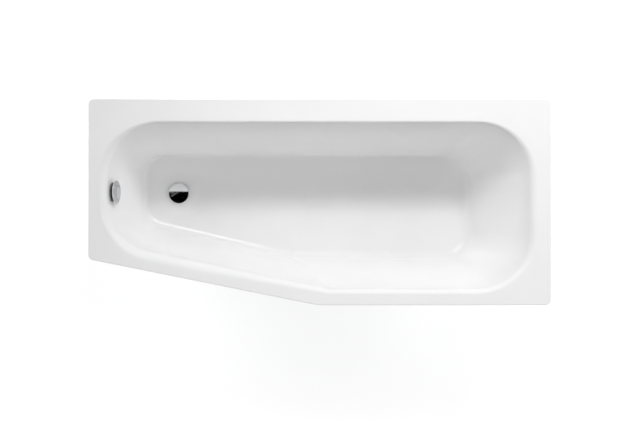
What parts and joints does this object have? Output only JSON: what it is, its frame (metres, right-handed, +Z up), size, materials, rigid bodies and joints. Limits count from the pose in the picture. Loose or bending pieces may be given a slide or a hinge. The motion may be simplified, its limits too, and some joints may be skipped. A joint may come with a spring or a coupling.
{
  "type": "bathtub",
  "caption": "White enamelled space-saving bathtub with a tapered foot end, flat rim, sloping walls, turn-knob pop-up waste, trapped drain and screw legs on cross rails.",
  "frame": {"origin": "on the room floor under the middle of the rim's overall rectangle", "axes": "+X along the bath from the foot end (waste and overflow) to the head end, +Y across it towards the straight back side, +Z up"},
  "size_m": [1.57, 0.7, 0.6],
  "materials": {
    "enamel": "gloss white enamel",
    "chrome": "polished",
    "zinc": "galvanised",
    "plastic_white": "moulded",
    "plastic_grey": "moulded",
    "plastic_black": "moulded",
    "rubber": "matt",
    "bitumen": "matt, embossed",
    "sheath": "smooth"
  },
  "bodies": {
    "tub": {"tub_shell": "enamel", "floor_sound_mat": "bitumen", "back_sound_mat": "bitumen", "front_sound_mat": "bitumen", "earth_tag": "zinc", "head_rail": "zinc", "drain_rail": "zinc", "rail_studs": "zinc", "rail_washers": "zinc", "rail_nuts": "zinc", "lever_pin": "zinc", "overflow_screws": "zinc", "head_rail_pad": "rubber", "drain_rail_pad": "rubber", "flange_seal": "rubber", "body_seal": "rubber", "trap_seal": "rubber", "overflow_gasket": "rubber", "pipe_seals": "rubber", "waste_flange": "chrome", "waste_body": "plastic_white", "overflow_housing": "plastic_white", "overflow_pipe": "plastic_white", "trap_cup": "plastic_white", "trap_ring_nut": "plastic_grey", "union_nuts": "plastic_grey", "overflow_clamp": "plastic_grey", "cable_clips": "plastic_grey", "pull_cable": "sheath", "cable_ferrules": "zinc"},
    "knob": {"control_knob": "chrome", "knob_shaft": "zinc", "cable_drum": "plastic_grey"},
    "plug": {"plug_cover": "chrome", "plug_seal": "rubber", "plug_stem": "zinc"},
    "lever": {"lift_lever": "plastic_grey"},
    "head_back_leg": {"head_back_spindle": "zinc", "head_back_foot": "plastic_black", "head_back_sole": "rubber"},
    "head_back_nut_set": {"head_back_nuts": "zinc"},
    "head_front_leg": {"head_front_spindle": "zinc", "head_front_foot": "plastic_black", "head_front_sole": "rubber"},
    "head_front_nut_set": {"head_front_nuts": "zinc"},
    "drain_back_leg": {"drain_back_spindle": "zinc", "drain_back_foot": "plastic_black", "drain_back_sole": "rubber"},
    "drain_back_nut_set": {"drain_back_nuts": "zinc"},
    "drain_front_leg": {"drain_front_spindle": "zinc", "drain_front_foot": "plastic_black", "drain_front_sole": "rubber"},
    "drain_front_nut_set": {"drain_front_nuts": "zinc"}
  },
  "joints": [
    {"name": "knob_turn", "type": "hinge", "parent": "tub", "child": "knob", "pos_m": [-0.7134, 0.035, 0.532], "axis": [0.9806, 0, 0.1961], "range_deg": [0, 110]},
    {"name": "plug_lift", "type": "slide", "parent": "tub", "child": "plug", "axis": [0, 0, 1], "range_m": [0, 0.011]},
    {"name": "lever_turn", "type": "hinge", "parent": "tub", "child": "lever", "pos_m": [-0.503, 0.035, 0.13256], "axis": [0, 1, 0], "range_deg": [0, 40]},
    {"name": "head_back_height", "type": "slide", "parent": "tub", "child": "head_back_leg", "axis": [0, 0, -1], "range_m": [-0.015, 0.025]},
    {"name": "head_back_nut_turn", "type": "hinge", "parent": "tub", "child": "head_back_nut_set", "pos_m": [0.392, 0.201, 0.17], "axis": [0, 0, 1], "range_deg": [-3087.7, 5144.9]},
    {"name": "head_front_height", "type": "slide", "parent": "tub", "child": "head_front_leg", "axis": [0, 0, -1], "range_m": [-0.015, 0.025]},
    {"name": "head_front_nut_turn", "type": "hinge", "parent": "tub", "child": "head_front_nut_set", "pos_m": [0.392, -0.226, 0.17], "axis": [0, 0, 1], "range_deg": [-3087.7, 5144.9]},
    {"name": "drain_back_height", "type": "slide", "parent": "tub", "child": "drain_back_leg", "axis": [0, 0, -1], "range_m": [-0.015, 0.025]},
    {"name": "drain_back_nut_turn", "type": "hinge", "parent": "tub", "child": "drain_back_nut_set", "pos_m": [-0.4, 0.201, 0.17], "axis": [0, 0, 1], "range_deg": [-3087.7, 5144.9]},
    {"name": "drain_front_height", "type": "slide", "parent": "tub", "child": "drain_front_leg", "axis": [0, 0, -1], "range_m": [-0.015, 0.025]},
    {"name": "drain_front_nut_turn", "type": "hinge", "parent": "tub", "child": "drain_front_nut_set", "pos_m": [-0.4, -0.15653, 0.17], "axis": [0, 0, 1], "range_deg": [-3087.7, 5144.9]}
  ],
  "couplings": [
    {"joint": "plug_lift", "follows": "knob_turn", "m_per_rad": 0.005729},
    {"joint": "lever_turn", "follows": "knob_turn", "ratio": 0.3636},
    {"joint": "head_back_nut_turn", "follows": "head_back_height", "rad_per_m": 3590.4},
    {"joint": "head_front_nut_turn", "follows": "head_front_height", "rad_per_m": 3590.4},
    {"joint": "drain_back_nut_turn", "follows": "drain_back_height", "rad_per_m": 3590.4},
    {"joint": "drain_front_nut_turn", "follows": "drain_front_height", "rad_per_m": 3590.4}
  ]
}
